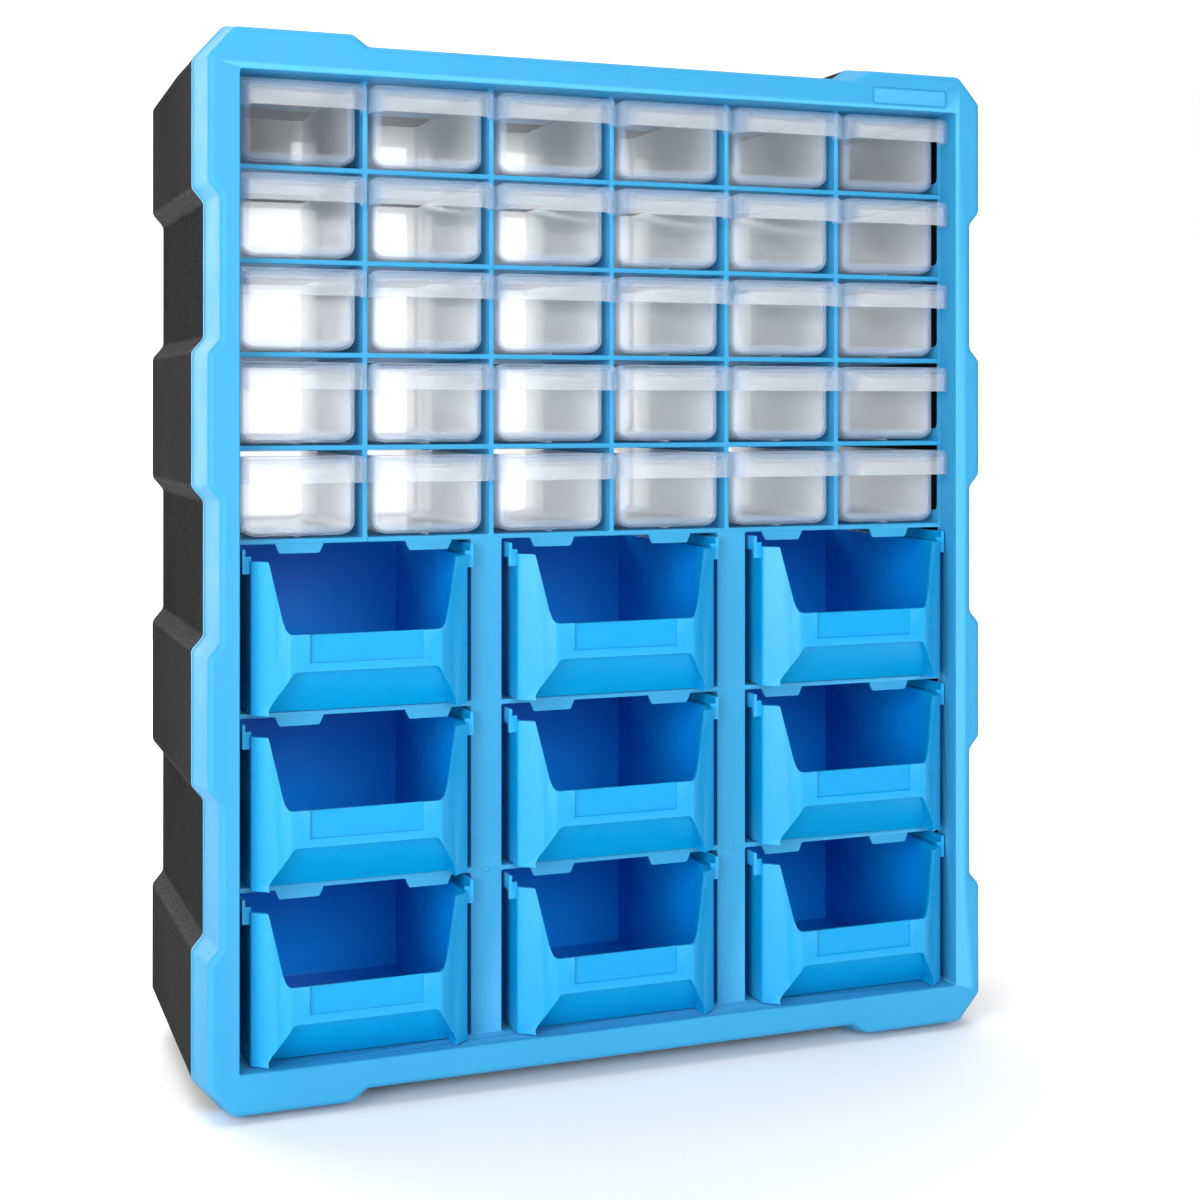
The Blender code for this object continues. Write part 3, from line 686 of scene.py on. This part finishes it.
def drawer_mesh():
    """Tub with a hooded grip across its front. Its origin is in the bezel's plane."""
    face, top, wall = DRAWER_FRONT, DRAWER_TALL, DRAWER_WALL
    back = face + DRAWER_LENGTH

    def tub_sections(half, low, high, across, up, near, far, soft):
        arc = [(soft * (1 - math.cos(a)), soft * (1 - math.sin(a)))
               for a in [math.radians(22.5 * k) for k in range(5)]]
        rows = [(near + y, d) for y, d in arc] + [(far - y, d) for y, d in reversed(arc)]
        return [(y, tub_outline(half - d, low + d, high, across - d * 0.5, up - d * 0.5))
                for y, d in rows]

    tub = add("tub", loft(tub_sections(DRAWER_HALF, 0.0, top, 7.0, 5.5, face, back, 3.2)))
    inner = loft(tub_sections(DRAWER_HALF - wall, wall, top + 5.0, 5.7, 4.2,
                              face + wall, back - wall, 2.4))
    boolean(tub, inner)

    high = top + 0.2
    low = high - HOOD_TALL
    ledge = low + HOOD_FACE_TALL
    hood = add("hood", loft([
        (HOOD_FACE, hood_outline(HOOD_FACE_HALF, low, ledge, 0.8)),
        (HOOD_EDGE - 0.4, hood_outline(HOOD_HALF - 0.35, low, high - 0.35, 2.9)),
        (HOOD_EDGE + 0.3, hood_outline(HOOD_HALF, low, high, 3.2)),
        (HOOD_BACK, hood_outline(HOOD_HALF, low, high, 3.2)),
    ]))
    hollow = loft([
        (HOOD_FACE + wall,
         hood_outline(HOOD_FACE_HALF - wall / 2, low - 2.0, ledge - wall / 2, 0.5)),
        (HOOD_EDGE + wall / 2, hood_outline(HOOD_HALF - wall, low - 2.0, high - wall, 2.2)),
        (HOOD_BACK + 1.0, hood_outline(HOOD_HALF - wall, low - 2.0, high - wall, 2.2)),
    ])
    boolean(hood, hollow)
    boolean(tub, hood, "UNION")
    boolean(tub, box(1.5 - DRAWER_HALF, DRAWER_HALF - 1.5, HOOD_EDGE + 2.0, face + 0.7,
                     high - wall - 0.4, high - 0.4), "UNION")
    # Runner under the floor
    boolean(tub, box(-0.8, 0.8, face + 3.0, back - 3.0, -RUNNER, 0.5), "UNION")
    bevel(tub, 0.25, 2, 45.0, 0.3)

    # Grip ribs across the slope of the hood, and level marks on the left wall inside
    slope = (HOOD_EDGE - 0.4 - HOOD_FACE) / (high - 0.35 - ledge)
    for k in range(RIBS):
        z = ledge + 1.7 + RIB_PITCH * k
        y = HOOD_FACE + slope * (z - ledge)
        boolean(tub, box(-RIB_HALF, RIB_HALF, y - 0.12, y + 0.6, z - 0.16, z + 0.16), "UNION")
    for k in range(LEVELS):
        z = LEVEL_LOW + LEVEL_PITCH * k
        x = wall - DRAWER_HALF
        boolean(tub, box(x - 0.4, x + 0.22, face + 52.0, face + 96.0, z - 0.2, z + 0.2), "UNION")
    return baked(tub, "small_drawer")


# --------------------------------------------------------------------- bins
def bin_mesh():
    """Bin with a low sill, slanting wings and flanges. Its origin is in the bezel's plane."""
    sill = -SILL_PROUD
    wall = BIN_WALL
    left = [(-BIN_HALF, BIN_BACK), (-BIN_HALF, BIN_WING), (-38.0, 0.0), (-33.2, sill)]
    plan = left + [(-x, y) for x, y in reversed(left)]
    soft = [1.5, 2.2, 6.0, 4.0] + [4.0, 6.0, 2.2, 1.5]
    body = add("bin", plate([rounded(plan, soft, 6)], 0.0, BIN_TALL, "z"))

    # Flange, upright rim and hook on each side, and the rim across the back
    ledge, near = BIN_TALL - 1.8, BIN_WING + 2.0
    for side in (-1, 1):
        for x0, x1, y1, z0, z1 in (
                (BIN_HALF - 1.0, FLANGE_HALF, BIN_BACK, ledge, BIN_TALL),
                (FLANGE_HALF - 1.5, FLANGE_HALF, BIN_BACK, ledge, RIM_TALL),
                (BIN_HALF - 0.6, FLANGE_HALF, near + 2.6, RIM_TALL - 10.6, RIM_TALL - 3.0)):
            a, b = sorted((side * x0, side * x1))
            boolean(body, box(a, b, near, y1, z0, z1), "UNION")
    boolean(body, box(1.0 - FLANGE_HALF, FLANGE_HALF - 1.0, BIN_BACK - wall, BIN_BACK,
                      ledge, RIM_TALL), "UNION")

    # Panel below the sill, leaning back to the foot
    slope = (PANEL_FOOT - PANEL_TOP) / SILL_LOW
    drop = -1.0
    reach = PANEL_HALF + (SILL_LOW - drop) * PANEL_SPREAD
    boolean(body, wedge(SILL_LOW, drop, PANEL_HALF, reach,
                        PANEL_TOP, PANEL_TOP + slope * (SILL_LOW - drop)))

    left = [(-BIN_HALF + wall, BIN_BACK - wall), (-BIN_HALF + wall, BIN_WING + 1.6),
            (-37.0, 1.9), (-32.6, sill + wall)]
    plan = left + [(-x, y) for x, y in reversed(left)]
    soft = [1.0, 2.0, 4.0, 3.0] + [3.0, 4.0, 2.0, 1.0]
    inner = add("bin_inside", plate([rounded(plan, soft, 6)], wall, BIN_TALL + 8.0, "z"))
    boolean(inner, ramp(slope, wall))
    boolean(body, inner)

    # Opening above the sill, and the shallow recess for a label
    left = [(-42.4, BIN_TALL + 5.0), (-36.0, SILL_TOP + 5.5), (-34.2, SILL_TOP)]
    scoop = rounded(left + [(-x, z) for x, z in reversed(left)], [0.1, 3.0, 4.0, 4.0, 3.0, 0.1], 5)
    boolean(body, plate([scoop], AHEAD, BIN_WING + 6.0, "y"))
    boolean(body, box(-LABEL_HALF, LABEL_HALF, AHEAD, sill + LABEL_IN, LABEL_LOW, SILL_TOP + 2.0))
    bevel(body, 0.4, 2, 45.0, 0.3)
    return baked(body, "storage_bin")


def wedge(top, bottom, half_top, half_bottom, y_top, y_bottom):
    """Cutter for the panel that leans back: a trapezium with rounded corners and a sloping end."""
    corners = [(-half_bottom, bottom), (half_bottom, bottom), (half_top, top), (-half_top, top)]
    points = rounded(corners, [4.0, 4.0, 3.0, 3.0], 4)
    slope = (y_bottom - y_top) / (top - bottom)
    bm = bmesh.new()
    near = [bm.verts.new((x, AHEAD, z)) for x, z in points]
    far = [bm.verts.new((x, y_top + slope * (top - z), z)) for x, z in points]
    for i in range(len(points)):
        j = (i + 1) % len(points)
        bm.faces.new((near[i], near[j], far[j], far[i]))
    bm.faces.new(near)
    bm.faces.new(list(reversed(far)))
    return mesh_from(bm, "wedge")


def ramp(slope, wall):
    """Taken off the inside's cutter, so that a wall stands behind the leaning panel."""
    shift = wall * math.hypot(1.0, slope)
    high = SILL_LOW + 2.4
    bm = bmesh.new()
    bmesh.ops.create_cube(bm, size=1.0)
    for v in bm.verts:
        z = high if v.co.z > 0 else -1.0
        back = PANEL_TOP + slope * (SILL_LOW - z) + shift
        v.co = (60.0 if v.co.x > 0 else -60.0, back if v.co.y > 0 else AHEAD, z)
    return mesh_from(bm, "ramp")


# ----------------------------------------------------------------- assembly
make_frame()
make_shell()

shared = drawer_mesh()
for row in range(1, ROWS + 1):
    for col in range(1, COLUMNS + 1):
        node = "drawer_r%d_c%d" % (row, col)
        low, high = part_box(node)
        obj = add("tub_r%d_c%d" % (row, col), shared, pieces)
        obj.location = ((low.x + high.x) / 2, low.y - HOOD_FACE * MM, low.z + RUNNER * MM)
        finish_piece(obj, shared, clear_tub, node, [node])

shared = bin_mesh()
for row in range(1, 4):
    for col in range(1, 4):
        node = "bin_r%d_c%d" % (row, col)
        low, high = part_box(node)
        obj = add("storage_bin_r%d_c%d" % (row, col), shared, pieces)
        weighted(obj)
        obj.location = ((low.x + high.x) / 2, low.y + SILL_PROUD * MM, low.z)
        finish_piece(obj, shared, bin_blue, node, [node])

for coll in [c for c in bpy.data.collections
             if c.name in ("work", "frame_cuts", "frame_tabs", "shell_cuts")]:
    for obj in list(coll.objects):
        bpy.data.objects.remove(obj, do_unlink=True)
    bpy.data.collections.remove(coll)


# -------------------------------------------------------------------- stage
def studio():
    """Curved paper floor, white surroundings and five soft lights."""
    bm = bmesh.new()
    profile = [(-2.0, 0.0), (2.2, 0.0)]
    for k in range(1, 13):
        a = math.radians(90.0 * k / 12)
        profile.append((2.2 + 1.2 * math.sin(a), 1.2 - 1.2 * math.cos(a)))
    profile.append((3.4, 4.5))
    rows = [[bm.verts.new((x, y, z)) for y, z in profile] for x in (-7.0, 7.0)]
    for i in range(len(profile) - 1):
        bm.faces.new((rows[0][i], rows[1][i], rows[1][i + 1], rows[0][i + 1]))
    mesh = bpy.data.meshes.new("floor")
    bm.to_mesh(mesh)
    bm.free()
    mesh.shade_smooth()
    floor = bpy.data.objects.new("floor", mesh)
    bpy.context.scene.collection.objects.link(floor)
    n = Nodes("floor_paper")
    cloud = n.remap(n.noise(3.0, 2.0), 0.3, 0.7, 0.0, 1.0)
    shade = n.mix(cloud, (0.90, 0.90, 0.90, 1.0), (0.93, 0.93, 0.93, 1.0))
    shader = n.node("BsdfPrincipled", {"Base Color": shade, "Roughness": 0.7})
    mesh.materials.append(n.finish(shader.outputs[0]))

    # White behind the object, and a dimmer, even light round it
    world = bpy.data.worlds.new("studio")
    world.use_nodes = True
    tree = world.node_tree
    background = tree.nodes["Background"]
    seen = tree.nodes.new("ShaderNodeLightPath").outputs["Is Camera Ray"]
    level = tree.nodes.new("ShaderNodeMapRange")
    level.inputs["To Min"].default_value = 0.24
    level.inputs["To Max"].default_value = 1.0
    tree.links.new(seen, level.inputs["Value"])
    tree.links.new(level.outputs["Result"], background.inputs["Strength"])
    background.inputs["Color"].default_value = (1.0, 1.0, 1.0, 1.0)
    bpy.context.scene.world = world

    def area(name, location, target, size, power):
        light = bpy.data.lights.new(name, "AREA")
        light.shape = "RECTANGLE"
        light.size, light.size_y = size
        light.energy = power
        obj = bpy.data.objects.new(name, light)
        obj.location = location
        aim = Vector(target) - Vector(location)
        obj.rotation_euler = aim.to_track_quat("-Z", "Y").to_euler()
        obj.visible_camera = False
        bpy.context.scene.collection.objects.link(obj)

    area("left_softbox", (-1.55, -1.35, 0.55), (0.0, -0.05, 0.25), (1.1, 1.3), 36.0)
    area("front_softbox", (0.1, -2.5, 0.95), (0.0, 0.0, 0.25), (1.2, 1.0), 31.0)
    area("overhead_softbox", (0.0, -0.2, 2.4), (0.0, -0.1, 0.0), (2.2, 2.2), 34.0)
    area("rear_softbox", (-0.45, 1.5, 0.60), (0.0, 0.08, 0.32), (1.8, 1.2), 32.0)
    area("backdrop_light", (0.8, 1.4, 2.9), (1.0, 3.4, 0.9), (5.0, 1.2), 95.0)


def camera():
    """Photographer's place: left of centre, about 0.9 m in front, two thirds of the way up."""
    data = bpy.data.cameras.new("camera")
    data.sensor_width = 36.0
    data.lens = 60.42
    data.shift_x = -0.0902
    data.shift_y = -0.1656
    obj = bpy.data.objects.new("camera", data)
    obj.location = (-0.31677, -0.9407, 0.30517)
    yaw, pitch = math.radians(22.521), math.radians(0.132)
    forward = Vector((math.sin(yaw) * math.cos(pitch), math.cos(yaw) * math.cos(pitch),
                      math.sin(pitch)))
    obj.rotation_euler = forward.to_track_quat("-Z", "Y").to_euler()
    bpy.context.scene.collection.objects.link(obj)
    bpy.context.scene.camera = obj


studio()
camera()
bpy.context.scene.view_settings.view_transform = "Standard"

bpy.context.view_layer.update()
